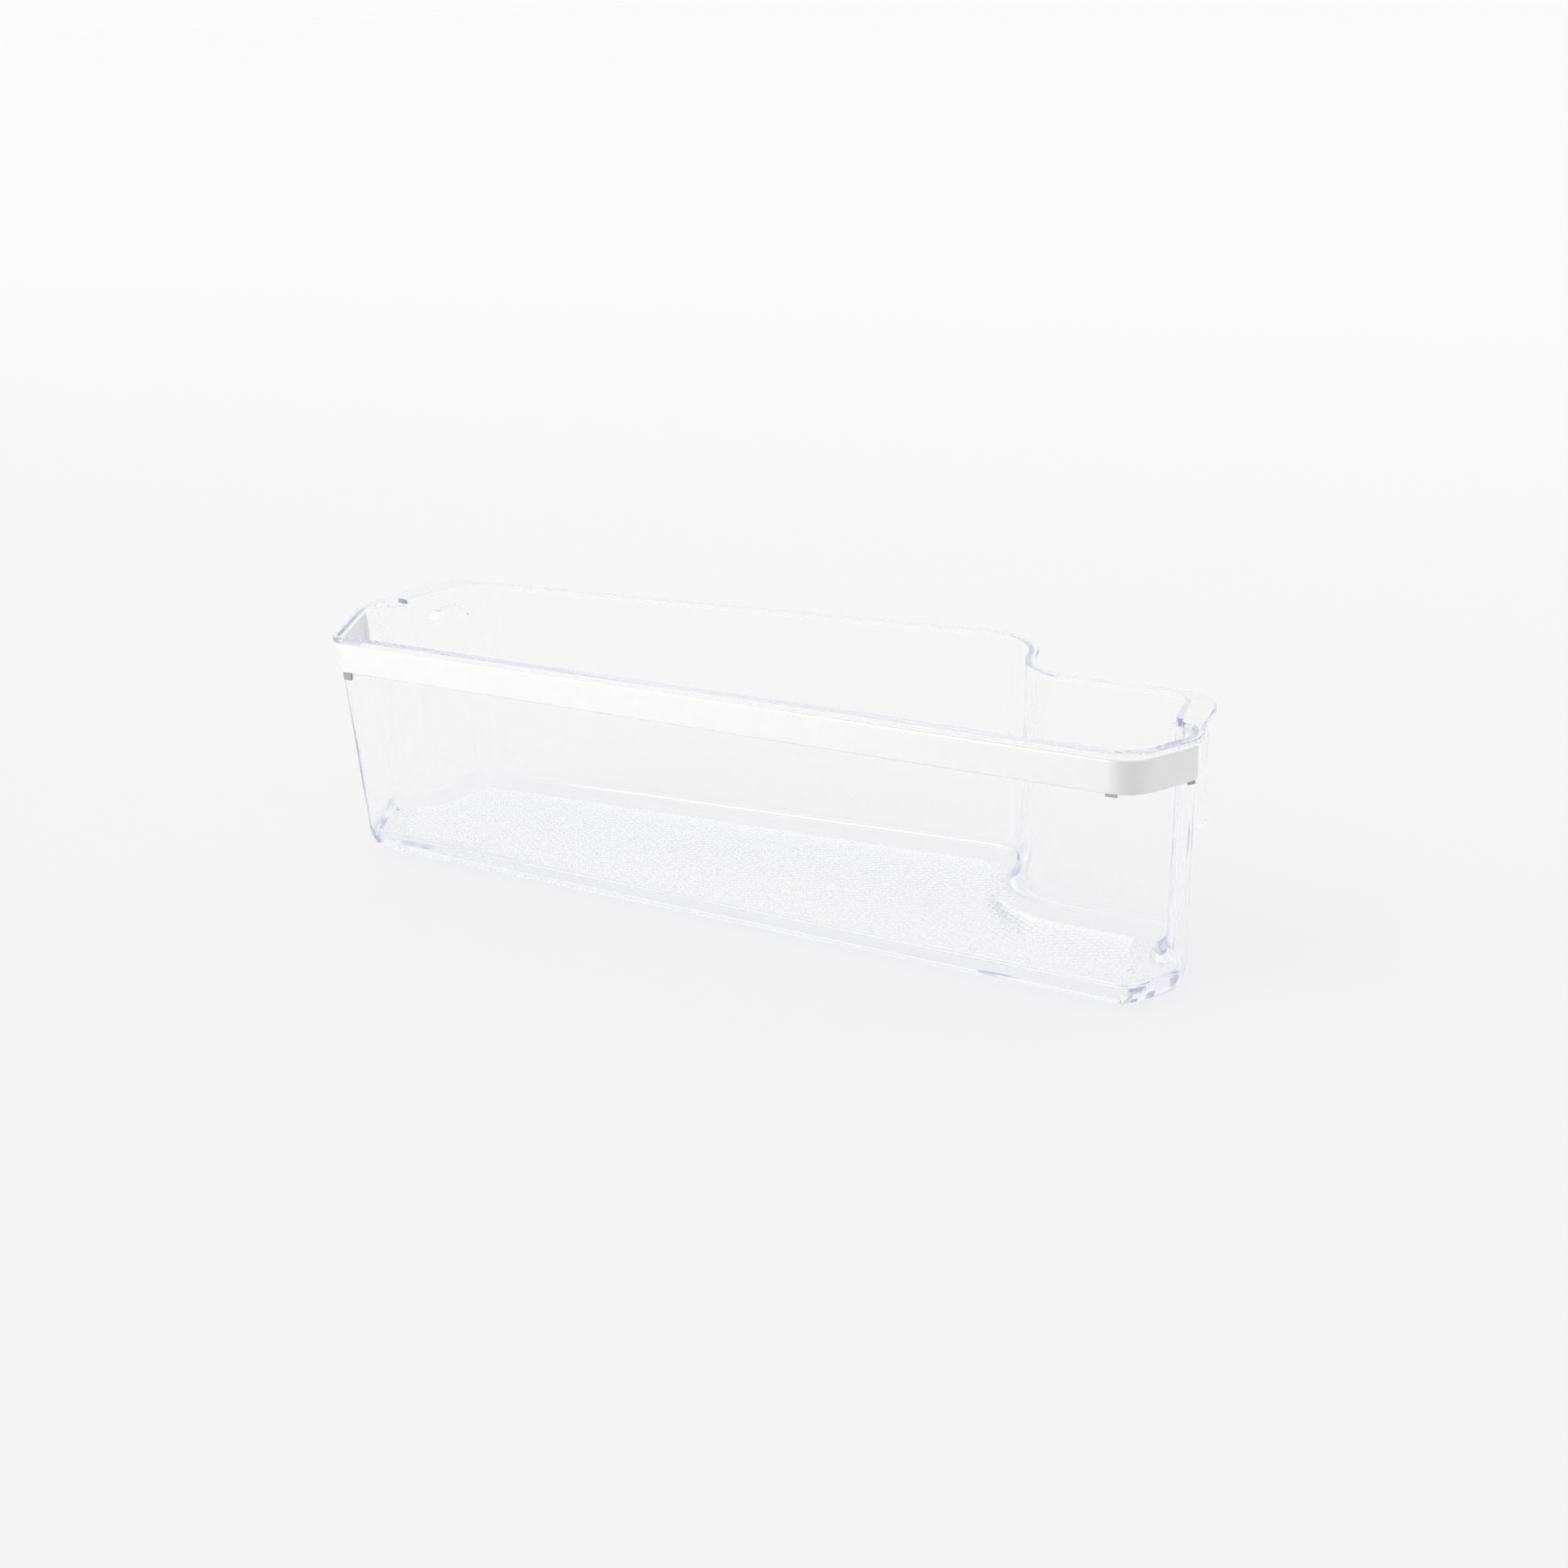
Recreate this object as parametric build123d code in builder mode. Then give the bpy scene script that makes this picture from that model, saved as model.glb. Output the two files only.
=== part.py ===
from build123d import *
import os
from math import cos, dist, radians, sin, tan

# A clear door shelf for a refrigerator, with a satin trim band clipped round its front.
# X runs along the shelf, -Y is the front that faces the room, +Y is the door side and Z is up.
# The origin is the middle of the underside. Sizes are in millimetres, angles in degrees.

os.makedirs("parts", exist_ok=True)

# Plan of the bin at the rim, measured on the outer faces of the walls
half_length = 218.8
deep_depth = 114.4
shallow_depth = 74.4
back_skew = 4.2
step_x = 118.2
step_angle = 75.0
step_flat = 4.0
left_chamfer_angle = 63.0
right_chamfer_angle = 60.0
left_chamfer_depth = 42.3
right_chamfer_depth = 25.8
end_lean = 9.0
left_end_flat = 14.5
right_end_flat = 13.5
pocket_depth = 9.8
pocket_ramp = 30.0
left_front_radius = 8.0
right_front_radius = 16.0
end_corner_radius = 14.0
ramp_outer_radius = 14.0
ramp_inner_radius = 6.0
back_corner_radius = 13.0

# Tighter corners of the rim, where the bin's walls are rounder
rim_end_radius = 10.0
rim_ramp_radius = 5.0

# Section of the bin
bin_height = 114.0
wall = 2.4
floor_thickness = 3.0
draft = 1.7
outer_floor_radius = 12.5
inner_floor_radius = 5.0

# Foot under the bin: the floor is raised, and the hollow below it leaves a foot all round
foot_height = 7.5
foot_width = 3.0

# Rim flange, and the upright seat below it that carries the trim
flange_overhang = 2.1
flange_thickness = 2.4
rim_edge_bevel = 0.5
inner_edge_bevel = 0.4
trim_gap = 0.9
seat_below_trim = 0.5

# Trim band and its clip tabs
trim_height = 13.7
trim_thickness = 1.8
trim_clearance = 0.15
left_trim_reach = 1.0
right_trim_reach = 0.5
trim_end_bevel = 1.2
trim_edge_bevel = 0.4
front_tab_width = 4.6
end_tab_width = 3.2
tab_thickness = 1.0
long_tab_drop = 3.8
short_tab_drop = 1.4
tab_nose = 0.4
tab_clearance = 0.15
left_tab_from_corner = 5.6
right_tab_from_corner = 8.5
end_tab_from_corner = 2.0

# Hanger at each end: roof plate, snap finger and lug stop
left_wing_overhang = 3.5
right_wing_overhang = 1.0
wing_thickness = 2.4
left_wing_radius = 22.0
right_wing_radius = 17.0
wing_lead = 1.5
finger_out = 1.6
finger_width = 4.0
finger_thickness = 1.6
finger_drop = 39.8
bead_radius = 1.35
stop_below_rim = 12.0
stop_setback = 6.0
stop_width = 18.0
stop_leg = 5.0
stop_rib = 2.0
stop_reach = 5.0
stop_radius = 4.0
notch_length = 7.0
notch_behind_ramp = 2.5
notch_drop = 3.2
notch_land = 3.5

front_y = -deep_depth / 2
deep_y = deep_depth / 2
shallow_y = front_y + shallow_depth
trim_top = bin_height - flange_thickness - trim_gap
trim_bottom = trim_top - trim_height
seat_bottom = trim_bottom - seat_below_trim


def meet(p, heading, q, other_heading):
    """Point where a line through p meets a line through q, with headings from +X."""
    c1, s1 = cos(radians(heading)), sin(radians(heading))
    c2, s2 = cos(radians(other_heading)), sin(radians(other_heading))
    along = ((q[0] - p[0]) * s2 - (q[1] - p[1]) * c2) / (c1 * s2 - s1 * c2)
    return (p[0] + along * c1, p[1] + along * s1)


# Corners of the plan before rounding, counter-clockwise from the front left
left_end = 90 - end_lean
right_end = 90 + end_lean
left_corner = (-half_length, front_y + left_chamfer_depth)
right_corner = (half_length, front_y + right_chamfer_depth)
front_left = meet(left_corner, 180 - left_chamfer_angle, (0, front_y), 0)
front_right = meet(right_corner, right_chamfer_angle, (0, front_y), 0)

left_ramp_start = meet(left_corner, left_end, (0, left_corner[1] + left_end_flat), 0)
right_ramp_start = meet(right_corner, right_end, (0, right_corner[1] + right_end_flat), 0)
left_pocket = (left_corner[0] + pocket_depth, left_corner[1])
right_pocket = (right_corner[0] - pocket_depth, right_corner[1])
left_ramp_end = meet(left_ramp_start, pocket_ramp, left_pocket, left_end)
right_ramp_end = meet(right_ramp_start, 180 - pocket_ramp, right_pocket, right_end)
left_back = meet(left_pocket, left_end, (0, deep_y), back_skew)
right_back = meet(right_pocket, right_end, (0, shallow_y), 0)

step_y = (shallow_y + deep_y + step_x * tan(radians(back_skew))) / 2
step_low = meet((step_x, step_y), -step_angle, (0, shallow_y), 0)
step_high = meet((step_x, step_y), -step_angle, (0, deep_y), back_skew)
step_bends = tan(radians(step_angle / 2)) + tan(radians((step_angle + back_skew) / 2))
step_radius = (dist(step_low, step_high) - step_flat) / step_bends

plan_corners = [
    front_left,
    front_right,
    right_corner,
    right_ramp_start,
    right_ramp_end,
    right_back,
    step_low,
    step_high,
    left_back,
    left_ramp_end,
    left_ramp_start,
    left_corner,
]
plan_radii = [
    left_front_radius,
    right_front_radius,
    end_corner_radius,
    ramp_outer_radius,
    ramp_inner_radius,
    back_corner_radius,
    step_radius,
    step_radius,
    back_corner_radius,
    ramp_inner_radius,
    ramp_outer_radius,
    end_corner_radius,
]

rim_radii = [
    left_front_radius,
    right_front_radius,
    rim_end_radius,
    rim_ramp_radius,
    ramp_inner_radius,
    back_corner_radius,
    step_radius,
    step_radius,
    back_corner_radius,
    ramp_inner_radius,
    rim_ramp_radius,
    rim_end_radius,
]

with BuildSketch() as wall_plan:
    with BuildLine():
        FilletPolyline(*plan_corners, radius=plan_radii, close=True)
    make_face()

# Outline of the space inside the bin. The bin is drafted from this outline, offset back out by the wall,
# because walls drafted from an offset outline are plain planes and cones
with BuildSketch() as inside_plan:
    offset(wall_plan.sketch, amount=-wall, mode=Mode.ADD)

with BuildSketch() as rim_plan:
    with BuildLine():
        FilletPolyline(*plan_corners, radius=rim_radii, close=True)
    make_face()


def wall_frame(corner, heading, distance):
    """Plane at the rim on the outer face of a wall, with its X pointing out of the bin.

    The wall leaves the corner along a heading that goes counter-clockwise round the plan.
    """
    along = (cos(radians(heading)), sin(radians(heading)))
    origin = (corner[0] + distance * along[0], corner[1] + distance * along[1], bin_height)
    return Plane(origin=origin, x_dir=(along[1], -along[0], 0), z_dir=(0, 0, 1))


def keep_zone(left_y, right_y, far_y):
    """Keep only what the active sketch has between a far line and a line at each end."""
    far = half_length + deep_depth
    zone = [(-far, far_y), (far, far_y), (far, right_y), (0, right_y), (0, left_y), (-far, left_y)]
    Polygon(*zone, align=None, mode=Mode.INTERSECT)


# How far the hollow under the floor lies inside the bin's inner outline at the rim
under_inset = bin_height * tan(radians(draft)) + outer_floor_radius + foot_width - wall

# The space inside the bin, a tool for hollowing it, flared at the top to bevel the rim's inner edge
with BuildPart() as hollow:
    with BuildSketch(Plane.XY.offset(bin_height)):
        add(inside_plan.sketch)
    extrude(amount=-(bin_height - foot_height - floor_thickness), taper=draft)
    fillet(hollow.faces().sort_by(Axis.Z)[0].edges(), radius=inner_floor_radius)
    with BuildSketch(Plane.XY.offset(bin_height)):
        offset(inside_plan.sketch, amount=inner_edge_bevel, mode=Mode.ADD)
    extrude(amount=-2 * inner_edge_bevel, taper=45)

# One snap finger, hanging from the rim outside the end wall, with a rounded bead at its foot
with BuildPart() as finger:
    with BuildSketch(Plane.XZ.offset(-finger_width / 2)):
        with Locations((finger_out, -finger_drop / 2)):
            Rectangle(finger_thickness, finger_drop)
        with Locations((finger_out, -finger_drop)):
            Circle(bead_radius)
    extrude(amount=finger_width)

# One lug stop, an arched rib on the wall of the hanger pocket
with BuildPart() as stop:
    with BuildSketch(Plane.YZ.offset(-pocket_depth)):
        with BuildLine():
            FilletPolyline(
                (-stop_width / 2, -stop_below_rim - stop_leg),
                (-stop_width / 2, -stop_below_rim),
                (stop_width / 2, -stop_below_rim),
                (stop_width / 2, -stop_below_rim - stop_leg),
                radius=stop_radius,
            )
        trace(line_width=stop_rib)
    extrude(amount=pocket_depth + stop_reach)

# Roof plates over the hanger pockets run from just before the snap finger to the back of the bin
wing_start = finger_width + wing_lead
wing_inset = half_length - 2 * pocket_depth - 2 * back_corner_radius
right_wing = wall_frame(right_ramp_start, right_end, -wing_start)
left_wing = wall_frame(left_ramp_start, left_end + 180, wing_start)
right_wing_edge = (right_wing * Pos(right_wing_overhang, 0)).position
left_wing_edge = (left_wing * Pos(left_wing_overhang, 0)).position
shallow_edge = shallow_y + flange_overhang
deep_edge = deep_y + flange_overhang / cos(radians(back_skew))
right_wing_points = [
    (right_wing_edge.X, right_wing_edge.Y),
    meet((right_wing_edge.X, right_wing_edge.Y), right_end, (0, shallow_edge), 0),
    (wing_inset, shallow_edge),
    meet((right_wing_edge.X, right_wing_edge.Y), right_end - 90, (wing_inset, 0), 90),
]
left_wing_points = [
    (left_wing_edge.X, left_wing_edge.Y),
    meet((left_wing_edge.X, left_wing_edge.Y), left_end, (0, deep_edge), back_skew),
    meet((-wing_inset, 0), 90, (0, deep_edge), back_skew),
    meet((left_wing_edge.X, left_wing_edge.Y), left_end + 90, (-wing_inset, 0), 90),
]
right_wing_radii = [0, right_wing_radius, 0, 0]
left_wing_radii = [0, left_wing_radius, 0, 0]

right_finger = wall_frame(right_ramp_start, right_end, -finger_width / 2)
left_finger = wall_frame(left_ramp_start, left_end + 180, finger_width / 2)
right_stop = wall_frame(right_ramp_end, right_end, dist(right_ramp_end, right_back) / 2 + stop_setback)
left_stop = wall_frame(left_back, left_end + 180, dist(left_ramp_end, left_back) / 2 - stop_setback)
right_notch = wall_frame(right_ramp_start, right_end, notch_behind_ramp)
left_notch = wall_frame(left_ramp_start, left_end + 180, -notch_behind_ramp)

far_off = half_length + deep_depth
left_trim_end = left_corner[1] + left_trim_reach
right_trim_end = right_corner[1] + right_trim_reach

with BuildPart() as shelf_bin:
    with BuildSketch(Plane.XY.offset(bin_height)):
        offset(inside_plan.sketch, amount=wall, mode=Mode.ADD)
    extrude(amount=-bin_height, taper=draft)
    fillet(shelf_bin.faces().sort_by(Axis.Z)[0].edges(), radius=outer_floor_radius)

    # The hollow under the raised floor
    with BuildSketch():
        offset(inside_plan.sketch, amount=-under_inset, mode=Mode.ADD)
    extrude(amount=foot_height, taper=draft, mode=Mode.SUBTRACT)

    # Upright seat for the trim, which leaves a small shoulder on the drafted wall below it
    with BuildSketch(Plane.XY.offset(seat_bottom)):
        add(wall_plan.sketch)
        keep_zone(left_trim_end + 1, right_trim_end + 1, -far_off)
    extrude(amount=bin_height - seat_bottom)

    # Rim flange, in front as far as the snap fingers and behind from one hanger pocket to the other
    with BuildSketch(Plane.XY.offset(bin_height)):
        offset(rim_plan.sketch, amount=flange_overhang, mode=Mode.ADD)
        keep_zone(left_ramp_start[1] - finger_width / 2, right_ramp_start[1] - finger_width / 2, -far_off)
    extrude(amount=-flange_thickness)
    with BuildSketch(Plane.XY.offset(bin_height)):
        offset(rim_plan.sketch, amount=flange_overhang, mode=Mode.ADD)
        keep_zone(left_ramp_end[1], right_ramp_end[1], far_off)
    extrude(amount=-flange_thickness)

    # Roof plates, snap fingers and lug stops of the two hangers
    with BuildSketch(Plane.XY.offset(bin_height)):
        with BuildLine():
            FilletPolyline(*right_wing_points, radius=right_wing_radii, close=True)
        make_face()
        with BuildLine():
            FilletPolyline(*left_wing_points, radius=left_wing_radii, close=True)
        make_face()
    extrude(amount=-wing_thickness)

    # Eased rim: each cut runs on through the corners that follow smoothly from its edge
    rim_lines = shelf_bin.edges().filter_by_position(Axis.Z, bin_height, bin_height).filter_by(Axis.X)
    chamfer(rim_lines.sort_by(Axis.Y)[0], length=rim_edge_bevel)
    rim_lines = shelf_bin.edges().filter_by_position(Axis.Z, bin_height, bin_height).filter_by(Axis.X)
    chamfer(rim_lines.sort_by(Axis.Y)[-1], length=rim_edge_bevel)

    with Locations(left_finger, right_finger):
        add(finger.part)
    with Locations(left_stop, right_stop):
        add(stop.part)

    add(hollow.part, mode=Mode.SUBTRACT)

    # Notches that free the root of each snap finger from the wall, leaving a land beside it
    with Locations(left_notch, right_notch):
        with Locations((-notch_land - pocket_depth, 0, 0)):
            Box(2 * pocket_depth, notch_length, 2 * notch_drop, mode=Mode.SUBTRACT)


# Clip tabs, each from inside the trim down to a nose that hooks under the seat
tab_root = trim_bottom - bin_height + tab_thickness
nose_top = seat_bottom - bin_height - tab_clearance


def tab_section(drop):
    """Upright section of a clip tab that hangs a given length below the trim."""
    foot = trim_bottom - bin_height - drop
    return [
        (trim_clearance, tab_root),
        (trim_clearance, nose_top),
        (-tab_nose, nose_top),
        (trim_clearance, foot),
        (trim_clearance + tab_thickness, foot),
        (trim_clearance + tab_thickness, tab_root),
    ]


with BuildPart() as long_tab:
    with BuildSketch(Plane.XZ.offset(-front_tab_width / 2)):
        Polygon(*tab_section(long_tab_drop), align=None)
    extrude(amount=front_tab_width)

with BuildPart() as short_tab:
    with BuildSketch(Plane.XZ.offset(-front_tab_width / 2)):
        Polygon(*tab_section(short_tab_drop), align=None)
    extrude(amount=front_tab_width)

with BuildPart() as end_tab:
    with BuildSketch(Plane.XZ.offset(-end_tab_width / 2)):
        Polygon(*tab_section(short_tab_drop), align=None)
    extrude(amount=end_tab_width)

left_front_tab = wall_frame(front_left, 0, left_tab_from_corner)
right_front_tab = wall_frame(front_right, 0, -right_tab_from_corner)
left_end_tab = wall_frame(left_corner, 360 - left_chamfer_angle, end_tab_from_corner)
right_end_tab = wall_frame(right_corner, right_chamfer_angle, -end_tab_from_corner)

with BuildPart() as front_trim:
    with BuildSketch(Plane.XY.offset(trim_bottom)):
        offset(wall_plan.sketch, amount=trim_clearance + trim_thickness, mode=Mode.ADD)
        offset(wall_plan.sketch, amount=trim_clearance, mode=Mode.SUBTRACT)
        keep_zone(left_trim_end, right_trim_end, -far_off)
    extrude(amount=trim_height)
    end_edges = front_trim.edges().filter_by_position(Axis.Z, trim_bottom, trim_bottom).filter_by(Axis.X)
    chamfer(end_edges.sort_by(SortBy.LENGTH)[0:2], length=trim_end_bevel)
    face_lines = front_trim.edges().filter_by(Axis.X).group_by(Axis.Y)[0]
    chamfer(face_lines, length=trim_edge_bevel)
    with Locations(left_front_tab):
        add(long_tab.part)
    with Locations(right_front_tab):
        add(short_tab.part)
    with Locations(left_end_tab, right_end_tab):
        add(end_tab.part)

shelf_bin.part.label = "shelf_bin"
front_trim.part.label = "front_trim"
export_step(shelf_bin.part, "parts/shelf_bin.step")
export_step(front_trim.part, "parts/front_trim.step")
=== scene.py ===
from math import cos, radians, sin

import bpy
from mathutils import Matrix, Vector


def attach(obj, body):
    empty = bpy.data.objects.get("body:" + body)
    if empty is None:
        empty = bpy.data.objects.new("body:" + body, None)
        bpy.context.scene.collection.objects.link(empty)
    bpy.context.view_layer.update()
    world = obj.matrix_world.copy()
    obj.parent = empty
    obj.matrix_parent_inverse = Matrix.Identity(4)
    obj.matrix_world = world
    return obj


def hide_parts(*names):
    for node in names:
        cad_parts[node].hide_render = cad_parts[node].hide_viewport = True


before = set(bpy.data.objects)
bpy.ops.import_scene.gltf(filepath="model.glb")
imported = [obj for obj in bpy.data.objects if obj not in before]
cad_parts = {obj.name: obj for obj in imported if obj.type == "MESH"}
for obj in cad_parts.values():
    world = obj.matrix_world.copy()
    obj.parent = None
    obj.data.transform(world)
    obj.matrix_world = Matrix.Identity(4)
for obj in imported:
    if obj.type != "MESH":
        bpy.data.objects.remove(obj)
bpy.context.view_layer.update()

# %% [markdown]
# # A clear door shelf with a satin trim band
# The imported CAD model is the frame: a clear moulded bin and a satin band that is clipped round its
# front. This lesson keeps both shapes, adds the raised dots on the bin's base, and gives the two
# pieces their finishes. All lengths are in metres, in the same frame as the CAD.

MM = 0.001
scene = bpy.context.scene
scene.view_settings.view_transform = "Standard"

# %% [markdown]
# ## Working on a copy of the moulding
# The real base carries thousands of small raised dots. They could be painted on with a bump texture,
# but in clear plastic each dot bends the light that passes through it, so they are modelled. The CAD
# mesh must not change, so the lesson works on a copy. Its triangles are loose, so they are merged into
# one closed skin first, and the normals that came with them are cleared.

# %% Copy the bin and merge its triangles
MERGE_GAP = 0.001 * MM
bpy.ops.object.select_all(action="DESELECT")
cad_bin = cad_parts["shelf_bin"]
clear_bin = bpy.data.objects.new("clear_bin", cad_bin.data.copy())
scene.collection.objects.link(clear_bin)
clear_bin.select_set(True)
bpy.context.view_layer.objects.active = clear_bin
bpy.ops.mesh.customdata_custom_splitnormals_clear()
bpy.ops.object.mode_set(mode="EDIT")
bpy.ops.mesh.select_all(action="SELECT")
bpy.ops.mesh.remove_doubles(threshold=MERGE_GAP)
bpy.ops.mesh.select_all(action="DESELECT")
bpy.ops.object.mode_set(mode="OBJECT")
print("merged bin:", len(clear_bin.data.vertices), "points,", len(clear_bin.data.polygons), "triangles")

# %% [markdown]
# ## Opening the base
# The dots will be a sheet that takes the place of the flat base. The flat faces are found by their
# height and by their normal, and only they are deleted, so the rounded edge of the base stays. The
# open edge that is left gives the outline in which the dots have to stay.

# %% Delete the flat base and read its outline
BASE_TOP = 10.5 * MM
HEIGHT_GAP = 0.05 * MM
LEVEL = 0.99999


def is_base(face):
    """True for the flat faces on top of the base."""
    return face.normal.z > LEVEL and abs(face.center.z - BASE_TOP) < HEIGHT_GAP


for face in clear_bin.data.polygons:
    face.select = is_base(face)
bpy.ops.object.mode_set(mode="EDIT")
bpy.ops.mesh.select_mode(type="FACE")
bpy.ops.mesh.delete(type="FACE")
bpy.ops.mesh.select_mode(type="EDGE")
bpy.ops.mesh.select_non_manifold()
bpy.ops.object.mode_set(mode="OBJECT")
bin_points = clear_bin.data.vertices
base_edges = [
    (bin_points[edge.vertices[0]].co.xy, bin_points[edge.vertices[1]].co.xy)
    for edge in clear_bin.data.edges
    if edge.select
]
print("open edges round the base:", len(base_edges))

# %% [markdown]
# ## One dot
# A dot on the real base is a low dome, about 2.5 mm wide. Dots stand in columns along the depth of
# the shelf, and every second column is half a step further back, as a honeycomb is laid. So one dot
# is made in one cell of a honeycomb: a six-sided face, inset once for the foot of the dome and once more,
# raised, for its shoulder, and poked up to its top. Two cells make the block that repeats.

# %% Model two neighbouring cells
COLUMN_PITCH = 3.0 * MM
DOT_PITCH = 3.35 * MM
DOT_HEIGHT = 0.2 * MM
SHOULDER_HEIGHT = 0.13 * MM
CELL_EDGE = 0.42 * MM
SHOULDER_WIDTH = 0.42 * MM
CELL_SIDES = 6
HALF_SIDE = radians(180 / CELL_SIDES)
CELL_REACH = COLUMN_PITCH * 2 / 3
dots_middle = sum(((a + b) / 2 for a, b in base_edges), Vector((0, 0))) / len(base_edges)


def dot_cell(x, y):
    """Add one six-sided cell with its dome, centred on a point of the base."""
    bpy.ops.object.select_all(action="DESELECT")
    bpy.ops.mesh.primitive_circle_add(
        vertices=CELL_SIDES,
        radius=1,
        fill_type="NGON",
        location=(x, y, BASE_TOP),
        rotation=(0, 0, HALF_SIDE),
    )
    cell = bpy.context.active_object
    bpy.ops.object.transform_apply(location=False, rotation=True, scale=False)
    cell.scale = (CELL_REACH, DOT_PITCH / 2 / cos(HALF_SIDE), 1)
    bpy.ops.object.transform_apply(location=True, rotation=True, scale=True)
    bpy.ops.object.mode_set(mode="EDIT")
    bpy.ops.mesh.select_all(action="SELECT")
    bpy.ops.mesh.inset(thickness=CELL_EDGE)
    bpy.ops.mesh.inset(thickness=SHOULDER_WIDTH, depth=SHOULDER_HEIGHT)
    bpy.ops.mesh.poke(offset=DOT_HEIGHT - SHOULDER_HEIGHT)
    bpy.ops.object.mode_set(mode="OBJECT")
    return cell


first_cell = dot_cell(0, 0)
dot_sheet = dot_cell(COLUMN_PITCH, DOT_PITCH / 2)
first_cell.select_set(True)
bpy.ops.object.join()
dot_sheet.name = "dot_sheet"
print("faces in two cells:", len(dot_sheet.data.polygons))

# %% [markdown]
# ## A sheet of dots
# Copying by hand would take hours, so two array modifiers lay the block along the shelf and across it.
# The cells touch but are still loose, so their shared edges are merged. The sheet is laid out a little
# too large and is then moved to the middle of the base.

# %% Lay the sheet over the whole base
SPARE_CELLS = 2
CELL_MERGE_GAP = 0.02 * MM
base_reach_x = max(abs(p.x - dots_middle.x) for edge in base_edges for p in edge)
base_reach_y = max(abs(p.y - dots_middle.y) for edge in base_edges for p in edge)
across = 2 * int(base_reach_x / COLUMN_PITCH / 2 + SPARE_CELLS)
along = 2 * int(base_reach_y / DOT_PITCH + SPARE_CELLS)


def repeat(name, count, offset):
    """Repeat the sheet by an array modifier and apply it."""
    array = dot_sheet.modifiers.new(name, "ARRAY")
    array.count = count
    array.use_relative_offset = False
    array.use_constant_offset = True
    array.constant_offset_displace = offset
    bpy.ops.object.modifier_apply(modifier=name)


repeat("columns", across, (2 * COLUMN_PITCH, 0, 0))
repeat("rows", along, (0, DOT_PITCH, 0))
bpy.ops.object.mode_set(mode="EDIT")
bpy.ops.mesh.select_all(action="SELECT")
bpy.ops.mesh.remove_doubles(threshold=CELL_MERGE_GAP)
bpy.ops.mesh.select_all(action="DESELECT")
bpy.ops.object.mode_set(mode="OBJECT")
sheet_start = Vector((dots_middle.x - across * COLUMN_PITCH, dots_middle.y - along * DOT_PITCH / 2))
dot_sheet.data.transform(Matrix.Translation((sheet_start.x, sheet_start.y, 0)))
print("cells laid out:", 2 * across * along)

# %% [markdown]
# ## Keeping whole dots
# On the real base the dots stop short of the rounded edge. A boolean could trim the sheet to that, but
# it would slice dots and leave slivers. So each cell is measured instead: it stays if its centre lies
# far enough inside the outline of the base, and otherwise all its faces are deleted.

# %% Keep the cells that lie inside the base
DOT_MARGIN = 0.6 * MM
SHORTEST_SQUARED = 1e-12


def outline_gap(point):
    """Distance from a point to the outline of the base, negative outside it."""
    nearest = float("inf")
    inside = False
    for a, b in base_edges:
        span = b - a
        share = (point - a).dot(span) / max(span.length_squared, SHORTEST_SQUARED)
        share = max(0.0, min(1.0, share))
        nearest = min(nearest, (point - a - span * share).length)
        if (a.y > point.y) != (b.y > point.y):
            if point.x < a.x + (point.y - a.y) / (b.y - a.y) * (b.x - a.x):
                inside = not inside
    return nearest if inside else -nearest


def cell_centre(point):
    """Centre of the cell that a point of the sheet lies in."""
    column = round((point.x - sheet_start.x) / COLUMN_PITCH)
    best = None
    for step in (column - 1, column, column + 1):
        shift = DOT_PITCH / 2 if step % 2 else 0.0
        row = round((point.y - sheet_start.y - shift) / DOT_PITCH)
        centre = Vector((sheet_start.x + step * COLUMN_PITCH, sheet_start.y + shift + row * DOT_PITCH))
        if best is None or (centre - point).length < (best - point).length:
            best = centre
    return best


cell_kept = {}
for face in dot_sheet.data.polygons:
    centre = cell_centre(face.center.xy)
    key = (round(centre.x / MM, 2), round(centre.y / MM, 2))
    if key not in cell_kept:
        cell_kept[key] = outline_gap(centre) > CELL_REACH + DOT_MARGIN
    face.select = not cell_kept[key]
bpy.ops.object.mode_set(mode="EDIT")
bpy.ops.mesh.select_mode(type="FACE")
bpy.ops.mesh.delete(type="FACE")
bpy.ops.object.mode_set(mode="OBJECT")
print("dots kept on the base:", sum(cell_kept.values()))

# %% [markdown]
# ## Closing the base again
# The sheet and the bin become one mesh. Two open edges are left, the sheet's and the bin's, and Fill
# closes the smooth margin between them. A clear material needs a closed skin, because light is bent
# where it enters and leaves the plastic, so the cell ends by counting what is still open.

# %% Join the dots to the bin
bpy.ops.object.select_all(action="DESELECT")
dot_sheet.select_set(True)
clear_bin.select_set(True)
bpy.context.view_layer.objects.active = clear_bin
bpy.ops.object.join()
bpy.ops.object.mode_set(mode="EDIT")
bpy.ops.mesh.select_mode(type="EDGE")
bpy.ops.mesh.select_all(action="DESELECT")
bpy.ops.mesh.select_non_manifold()
bpy.ops.mesh.fill(use_beauty=True)
bpy.ops.mesh.select_all(action="SELECT")
bpy.ops.mesh.normals_make_consistent(inside=False)
bpy.ops.mesh.select_all(action="DESELECT")
bpy.ops.mesh.select_non_manifold()
bpy.ops.object.mode_set(mode="OBJECT")
open_edges = sum(edge.select for edge in clear_bin.data.edges)
print("open edges left:", open_edges, "faces:", len(clear_bin.data.polygons))

# %% [markdown]
# ## Smooth skin, crisp edges
# A moulded skin is smooth where it is round and crisp where two faces meet. More faces would give that
# too, but the normals can do it alone. They are smoothed where faces meet at less than a set angle, and
# then weighted by the size of the faces, so that the large flat walls stay flat to the eye.

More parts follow.
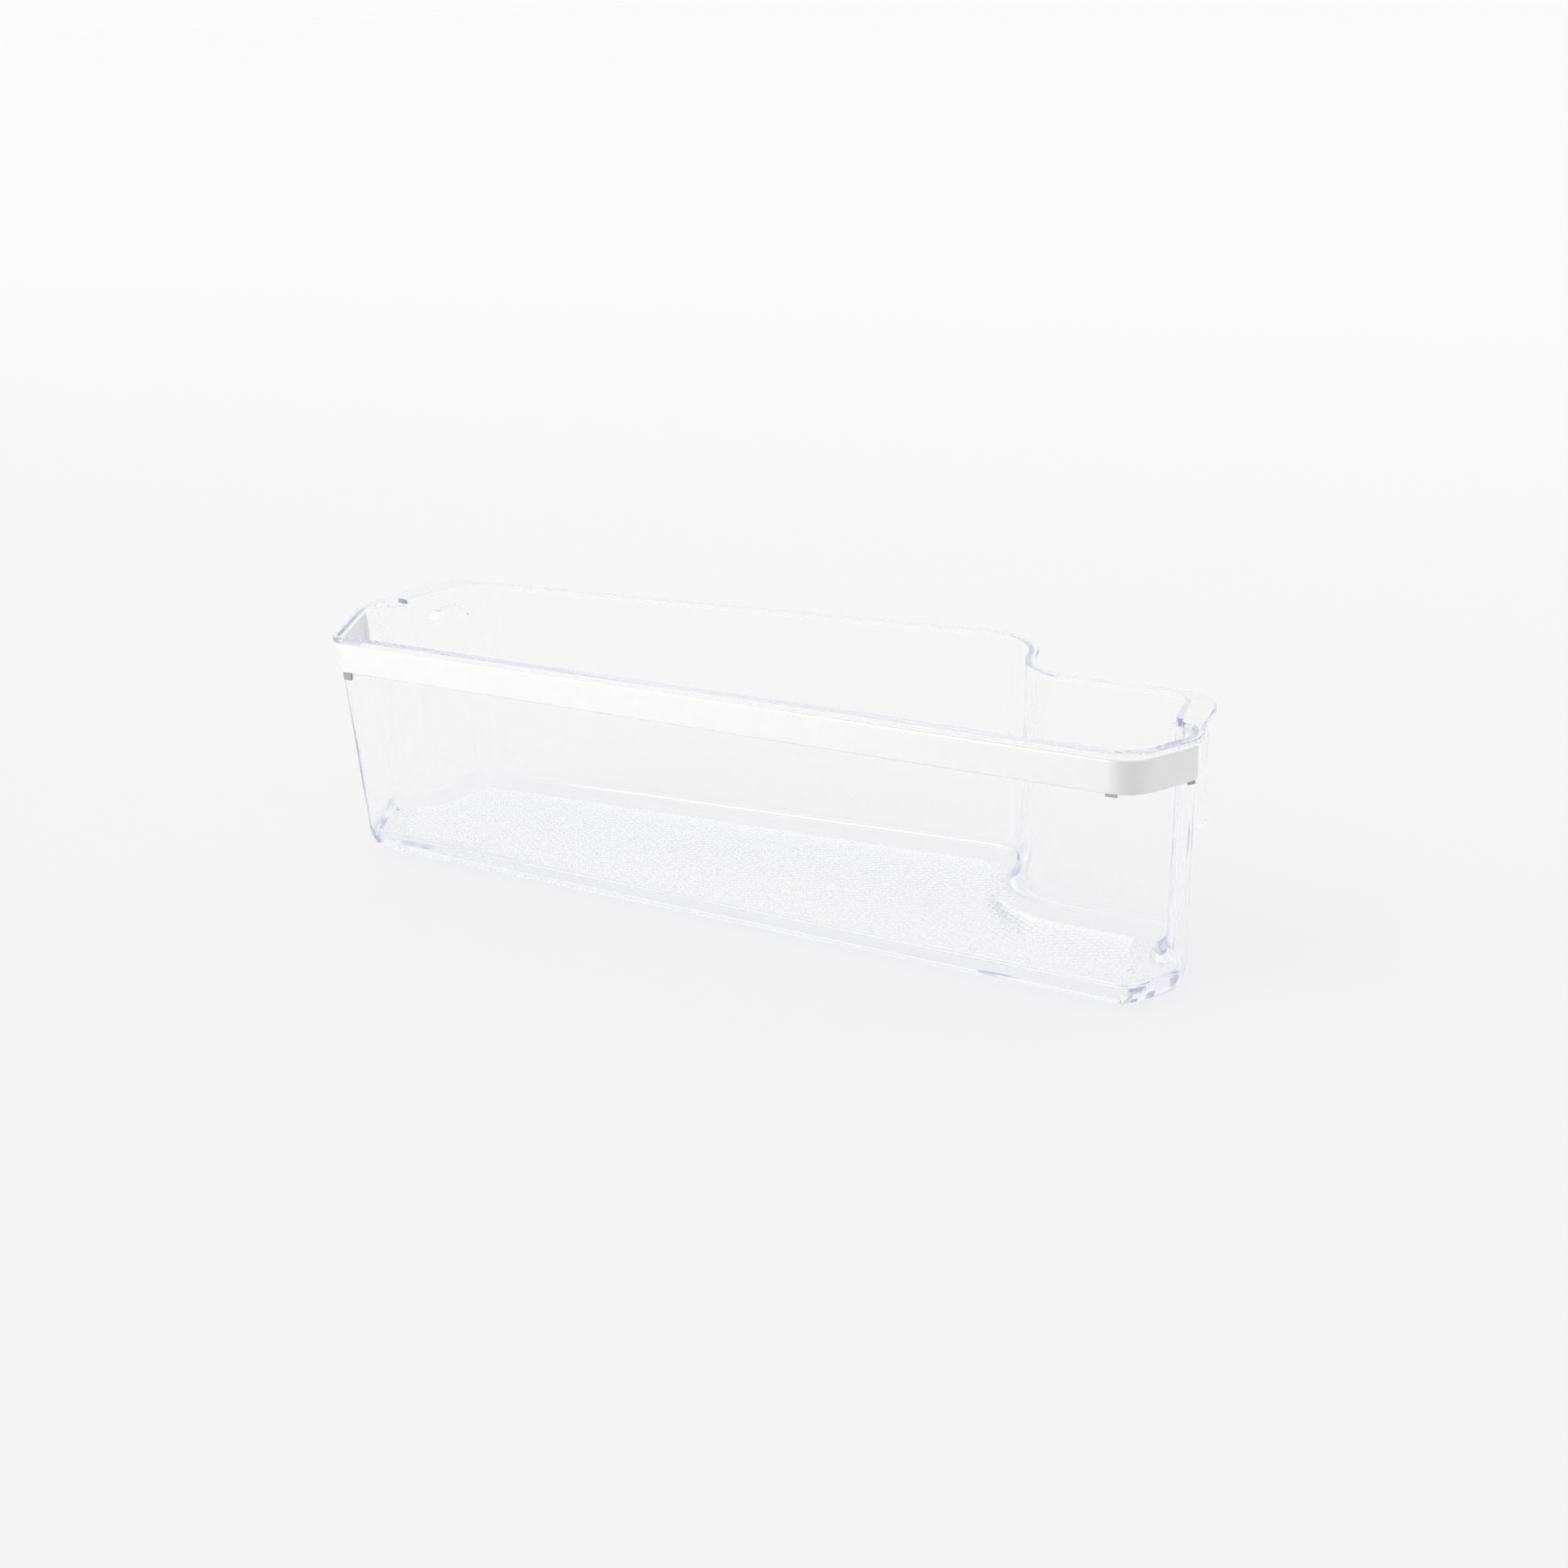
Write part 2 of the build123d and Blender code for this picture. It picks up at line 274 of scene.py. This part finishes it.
# %% Shade the skin smooth, with crisp moulded edges
SMOOTH_ANGLE = radians(38)
LARGE_FACE_WEIGHT = 100
bpy.ops.object.shade_smooth_by_angle(angle=SMOOTH_ANGLE)
weighted = clear_bin.modifiers.new("flat faces stay flat", "WEIGHTED_NORMAL")
weighted.keep_sharp = True
weighted.weight = LARGE_FACE_WEIGHT
bpy.ops.object.modifier_apply(modifier=weighted.name)
print("smooth faces:", sum(face.use_smooth for face in clear_bin.data.polygons))

# %% [markdown]
# ## Clear plastic
# The bin is a clear moulding, most likely of styrene. Glass could stand in for it, but that plastic
# bends light a little more and has a faint violet-blue tint that only shows where light runs a long way
# inside it, at the rim and the edges. So the surface is colourless and the tint is an absorption in the
# volume. A soft noise in the roughness stands for the slight unevenness of a moulded skin.

# %% Make the clear plastic
PLASTIC_TINT = (0.75, 0.77, 0.88, 1)
PLASTIC_TINT_DENSITY = 3.0
PLASTIC_IOR = 1.57
NOISE_LOW = 0.3
NOISE_HIGH = 0.7


def new_material(name):
    """A material with an empty node tree and its output node."""
    material = bpy.data.materials.new(name)
    material.use_nodes = True
    material.node_tree.nodes.clear()
    output = material.node_tree.nodes.new("ShaderNodeOutputMaterial")
    return material, material.node_tree, output


def noise_range(tree, scale, detail, low, high):
    """A noise on the piece's own coordinates, spread between two values."""
    place = tree.nodes.new("ShaderNodeTexCoord")
    noise = tree.nodes.new("ShaderNodeTexNoise")
    noise.inputs["Scale"].default_value = scale
    noise.inputs["Detail"].default_value = detail
    spread = tree.nodes.new("ShaderNodeMapRange")
    spread.inputs["From Min"].default_value = NOISE_LOW
    spread.inputs["From Max"].default_value = NOISE_HIGH
    spread.inputs["To Min"].default_value = low
    spread.inputs["To Max"].default_value = high
    tree.links.new(place.outputs["Object"], noise.inputs["Vector"])
    tree.links.new(noise.outputs["Fac"], spread.inputs["Value"])
    return spread.outputs["Result"]


clear_plastic, tree, output = new_material("clear_plastic_moulded")
plastic = tree.nodes.new("ShaderNodeBsdfPrincipled")
plastic.inputs["Base Color"].default_value = (1, 1, 1, 1)
plastic.inputs["Transmission Weight"].default_value = 1.0
plastic.inputs["IOR"].default_value = PLASTIC_IOR
tint = tree.nodes.new("ShaderNodeVolumeAbsorption")
tint.inputs["Color"].default_value = PLASTIC_TINT
tint.inputs["Density"].default_value = PLASTIC_TINT_DENSITY
unevenness = noise_range(tree, scale=60, detail=3, low=0.0, high=0.03)
tree.links.new(unevenness, plastic.inputs["Roughness"])
tree.links.new(tint.outputs["Volume"], output.inputs["Volume"])
print("clear plastic nodes:", len(tree.nodes))

# %% [markdown]
# ## A pale shadow
# Clear plastic throws only a pale shadow. Cycles could follow the bent light down to the table, but that
# is slow and leaves bright specks. So rays that light other things, which are shadow rays and diffuse
# rays, go straight through the plastic and lose a little at each surface. All other rays are bent by
# the plastic, and so is all that the camera sees through it.

# %% Let the light through to the table
LIGHT_PASSED = (0.985, 0.985, 0.988, 1)
thin_air = tree.nodes.new("ShaderNodeBsdfTransparent")
thin_air.inputs["Color"].default_value = LIGHT_PASSED
ray = tree.nodes.new("ShaderNodeLightPath")
lights_table = tree.nodes.new("ShaderNodeMath")
lights_table.operation = "MAXIMUM"
seen_or_lit = tree.nodes.new("ShaderNodeMixShader")
tree.links.new(ray.outputs["Is Shadow Ray"], lights_table.inputs[0])
tree.links.new(ray.outputs["Is Diffuse Ray"], lights_table.inputs[1])
tree.links.new(lights_table.outputs["Value"], seen_or_lit.inputs["Fac"])
tree.links.new(plastic.outputs["BSDF"], seen_or_lit.inputs[1])
tree.links.new(thin_air.outputs["BSDF"], seen_or_lit.inputs[2])
tree.links.new(seen_or_lit.outputs["Shader"], output.inputs["Surface"])
clear_bin.data.materials.clear()
clear_bin.data.materials.append(clear_plastic)
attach(clear_bin, "root")
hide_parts("shelf_bin")
print("clear plastic on", clear_bin.name)

# %% [markdown]
# ## Satin trim
# The band is plastic with a thin satin metal coat. It has no clear mirror image, but it takes on the
# brightness of what stands before it, so it is near white on the left and grey round the right corner.
# The coat is brushed along the band, so its gloss spreads up and down more than sideways: that is the
# anisotropy, turned a quarter. A fine noise, drawn out along the band, stands for the grain.

# %% Make the satin coat
COAT_DARK = (0.82, 0.82, 0.817, 1)
COAT_LIGHT = (0.86, 0.86, 0.857, 1)
COAT_METAL = 0.85
BRUSHING = 0.7
QUARTER_TURN = 0.25
GRAIN_STRETCH = (300, 300, 6000)
satin_coat, tree, output = new_material("satin_silver_coat")
coat = tree.nodes.new("ShaderNodeBsdfPrincipled")
coat.inputs["Metallic"].default_value = COAT_METAL
coat.inputs["Anisotropic"].default_value = BRUSHING
coat.inputs["Anisotropic Rotation"].default_value = QUARTER_TURN
along_band = tree.nodes.new("ShaderNodeTangent")
along_band.direction_type = "RADIAL"
along_band.axis = "Z"
place = tree.nodes.new("ShaderNodeTexCoord")
stretch = tree.nodes.new("ShaderNodeMapping")
stretch.inputs["Scale"].default_value = GRAIN_STRETCH
grain = tree.nodes.new("ShaderNodeTexNoise")
grain.inputs["Scale"].default_value = 1.0
grain.inputs["Detail"].default_value = 4.0
shade = tree.nodes.new("ShaderNodeValToRGB")
shade.color_ramp.elements[0].position = NOISE_LOW
shade.color_ramp.elements[0].color = COAT_DARK
shade.color_ramp.elements[1].position = NOISE_HIGH
shade.color_ramp.elements[1].color = COAT_LIGHT
tree.links.new(along_band.outputs["Tangent"], coat.inputs["Tangent"])
tree.links.new(place.outputs["Object"], stretch.inputs["Vector"])
tree.links.new(stretch.outputs["Vector"], grain.inputs["Vector"])
tree.links.new(grain.outputs["Fac"], shade.inputs["Fac"])
tree.links.new(shade.outputs["Color"], coat.inputs["Base Color"])
satin = noise_range(tree, scale=400, detail=4, low=0.36, high=0.44)
tree.links.new(satin, coat.inputs["Roughness"])
print("coat nodes:", len(tree.nodes))

# %% [markdown]
# ## Darker grey tabs
# The tabs that clip the band to the bin hang below it, and they are given a darker grey than the band.
# They are part of the same piece, so the height of a point decides which finish it gets: the satin coat
# above the foot of the band, darker grey plastic below it.

# %% Make the tabs darker grey and dress the trim
BAND_FOOT = 96.98 * MM
# The darker grey that the tabs get below the foot of the band.
TAB_DARKER_GREY = (0.4, 0.4, 0.405, 1)
tab_grey_finish = tree.nodes.new("ShaderNodeBsdfPrincipled")
tab_grey_finish.inputs["Base Color"].default_value = TAB_DARKER_GREY
height = tree.nodes.new("ShaderNodeSeparateXYZ")
below_band = tree.nodes.new("ShaderNodeMath")
below_band.operation = "LESS_THAN"
below_band.inputs[1].default_value = BAND_FOOT
pick = tree.nodes.new("ShaderNodeMixShader")
tab_grey_roughness = noise_range(tree, scale=900, detail=3, low=0.35, high=0.55)
tree.links.new(tab_grey_roughness, tab_grey_finish.inputs["Roughness"])
tree.links.new(place.outputs["Object"], height.inputs["Vector"])
tree.links.new(height.outputs["Z"], below_band.inputs[0])
tree.links.new(below_band.outputs["Value"], pick.inputs["Fac"])
tree.links.new(coat.outputs["BSDF"], pick.inputs[1])
tree.links.new(tab_grey_finish.outputs["BSDF"], pick.inputs[2])
tree.links.new(pick.outputs["Shader"], output.inputs["Surface"])
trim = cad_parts["front_trim"]
trim.data.materials.clear()
trim.data.materials.append(satin_coat)
print("satin coat on", trim.name)

# %% [markdown]
# ## Floor
# The shelf stands on a plain pale table that runs on out of sight. Its colour is painted lighter towards
# the back: painted light, for how the light falls across the table, so that hardly any edge shows behind
# the shelf in the camera's view. A plane is enough. It is kept a hair below the base.

# %% Lay the floor
FLOOR_SIZE = 160.0
FLOOR_DROP = 0.02 * MM
# Painted light: the table is coloured darker near the front and lighter towards the back, for how the
# light falls across it.
FLOOR_NEAR = (0.77, 0.77, 0.772, 1)
FLOOR_FAR = (0.815, 0.815, 0.818, 1)
FADE_START = -0.4
FADE_END = 1.6
bpy.ops.object.select_all(action="DESELECT")
bpy.ops.mesh.primitive_plane_add(size=FLOOR_SIZE, location=(0, 0, -FLOOR_DROP))
floor = bpy.context.active_object
floor.name = "floor"
table_top, tree, output = new_material("pale_table")
place = tree.nodes.new("ShaderNodeTexCoord")
depth = tree.nodes.new("ShaderNodeSeparateXYZ")
painted_light_fade = tree.nodes.new("ShaderNodeMapRange")
painted_light_fade.inputs["From Min"].default_value = FADE_START
painted_light_fade.inputs["From Max"].default_value = FADE_END
# Painted light: the table's colour is blended from the darker near colour to the lighter far one along
# its depth.
painted_light_ramp = tree.nodes.new("ShaderNodeValToRGB")
painted_light_ramp.color_ramp.elements[0].color = FLOOR_NEAR
painted_light_ramp.color_ramp.elements[1].color = FLOOR_FAR
matt = tree.nodes.new("ShaderNodeBsdfDiffuse")
tree.links.new(place.outputs["Object"], depth.inputs["Vector"])
tree.links.new(depth.outputs["Y"], painted_light_fade.inputs["Value"])
tree.links.new(painted_light_fade.outputs["Result"], painted_light_ramp.inputs["Fac"])
tree.links.new(painted_light_ramp.outputs["Color"], matt.inputs["Color"])
tree.links.new(matt.outputs["BSDF"], output.inputs["Surface"])
floor.data.materials.append(table_top)
print("floor:", floor.dimensions)

# %% [markdown]
# ## Light
# A clear piece is seen by what it bends: if all directions are equally bright it vanishes, and if
# many are dark it gets hard black lines. The photograph looks as if it was taken in a bright white
# studio, so here the room itself lights everything. It has a lit ceiling, which lights the tops of the
# dots, a small box high on the left, which draws a white line along the rounded foot of the back wall,
# a bright wall on the left and a dark one behind the camera, which shade the trim from left to right.
#
# Light runs a long way inside clear plastic before it leaves, so it is allowed many bounces; with the
# usual few the rim would turn black.

# %% Light the room
ROOM_COLOUR = (0.82, 0.82, 0.825, 1)
LIGHT_BOUNCES = 200
LEFT_WALL = (-0.9, -0.43, 0.02)
DARK_WALL = (0.55, -0.83, 0.05)
CEILING = (-0.2, 0.3, 0.93)
HIGH_BOX = (-0.45, -0.62, 0.64)
world = bpy.data.worlds.new("studio")
scene.world = world
world.use_nodes = True
sky = world.node_tree
sky.nodes.clear()
direction = sky.nodes.new("ShaderNodeTexCoord")
plain = sky.nodes.new("ShaderNodeRGB")
plain.outputs["Color"].default_value = ROOM_COLOUR


def with_wall(colour, brightness, side, outer_angle, inner_angle):
    """Mix a wall or a lit box, round a direction and with a soft edge, into the colour of the room."""
    along_side = sky.nodes.new("ShaderNodeVectorMath")
    along_side.operation = "DOT_PRODUCT"
    along_side.inputs[1].default_value = Vector(side).normalized()
    edge = sky.nodes.new("ShaderNodeMapRange")
    edge.interpolation_type = "SMOOTHSTEP"
    edge.inputs["From Min"].default_value = cos(radians(outer_angle))
    edge.inputs["From Max"].default_value = cos(radians(inner_angle))
    mix = sky.nodes.new("ShaderNodeMix")
    mix.data_type = "RGBA"
    mix.inputs["B"].default_value = (brightness, brightness, brightness, 1)
    sky.links.new(direction.outputs["Generated"], along_side.inputs[0])
    sky.links.new(along_side.outputs["Value"], edge.inputs["Value"])
    sky.links.new(edge.outputs["Result"], mix.inputs["Factor"])
    sky.links.new(colour, mix.inputs["A"])
    return mix.outputs["Result"]


lit_room = plain.outputs["Color"]
lit_room = with_wall(lit_room, brightness=2.2, side=LEFT_WALL, outer_angle=62, inner_angle=10)
lit_room = with_wall(lit_room, brightness=0.12, side=DARK_WALL, outer_angle=45, inner_angle=20)
lit_room = with_wall(lit_room, brightness=1.3, side=CEILING, outer_angle=35, inner_angle=25)
lit_room = with_wall(lit_room, brightness=4.5, side=HIGH_BOX, outer_angle=18, inner_angle=14)
scene.cycles.max_bounces = LIGHT_BOUNCES
scene.cycles.transmission_bounces = LIGHT_BOUNCES
scene.cycles.glossy_bounces = LIGHT_BOUNCES
print("room light with", LIGHT_BOUNCES, "bounces")

# %% [markdown]
# ## Background
# The camera sees a plain near-white behind the table, and so do the rays that come out of the clear
# plastic, so that a clear wall looks as pale as what stands behind it. Only these rays are told apart,
# by the Light Path node, so the light on the trim and on the table stays as it is.

# %% Show the camera a plain background
BACKGROUND = (0.965, 0.965, 0.967, 1)
room = sky.nodes.new("ShaderNodeBackground")
white = sky.nodes.new("ShaderNodeBackground")
white.inputs["Color"].default_value = BACKGROUND
path = sky.nodes.new("ShaderNodeLightPath")
choose = sky.nodes.new("ShaderNodeMixShader")
sky_output = sky.nodes.new("ShaderNodeOutputWorld")
sky.links.new(lit_room, room.inputs["Color"])
sees_backdrop = sky.nodes.new("ShaderNodeMath")
sees_backdrop.operation = "MAXIMUM"
sky.links.new(path.outputs["Is Camera Ray"], sees_backdrop.inputs[0])
sky.links.new(path.outputs["Is Transmission Ray"], sees_backdrop.inputs[1])
sky.links.new(sees_backdrop.outputs["Value"], choose.inputs["Fac"])
sky.links.new(room.outputs["Background"], choose.inputs[1])
sky.links.new(white.outputs["Background"], choose.inputs[2])
sky.links.new(choose.outputs["Shader"], sky_output.inputs["Surface"])
print("background:", BACKGROUND)

# %% [markdown]
# ## Camera
# The camera stands where the photograph was taken from: to the right of the front and above the rim,
# looking down along the shelf. Its place and its turn were found from the vanishing points of the rim,
# the walls and the base. The photograph is slightly tilted, so the camera is rolled a little too.

# %% Place the camera
CAMERA_PLACE = Vector((0.4691, -0.7299, 0.390))
CAMERA_AZIMUTH = radians(32.01)
CAMERA_PITCH = radians(21.5)
CAMERA_ROLL = radians(3.2)
LENS_MM = 46.58
SENSOR_MM = 36.0
CLIP_START = 10 * MM
forward = Vector((
    -sin(CAMERA_AZIMUTH) * cos(CAMERA_PITCH),
    cos(CAMERA_AZIMUTH) * cos(CAMERA_PITCH),
    -sin(CAMERA_PITCH),
))
level_right = Vector((cos(CAMERA_AZIMUTH), sin(CAMERA_AZIMUTH), 0))
level_up = level_right.cross(forward)
right = cos(CAMERA_ROLL) * level_right - sin(CAMERA_ROLL) * level_up
up = sin(CAMERA_ROLL) * level_right + cos(CAMERA_ROLL) * level_up
lens = bpy.data.cameras.new("camera")
lens.lens = LENS_MM
lens.sensor_width = SENSOR_MM
lens.clip_start = CLIP_START
camera = bpy.data.objects.new("camera", lens)
turn = Matrix((right, up, -forward)).transposed().to_4x4()
camera.matrix_world = Matrix.Translation(CAMERA_PLACE) @ turn
scene.collection.objects.link(camera)
scene.camera = camera
print("camera at", CAMERA_PLACE)

# %% [markdown]
# ## Finish
# The scene is brought up to date.

# %% Update the scene and finish
bpy.context.view_layer.update()
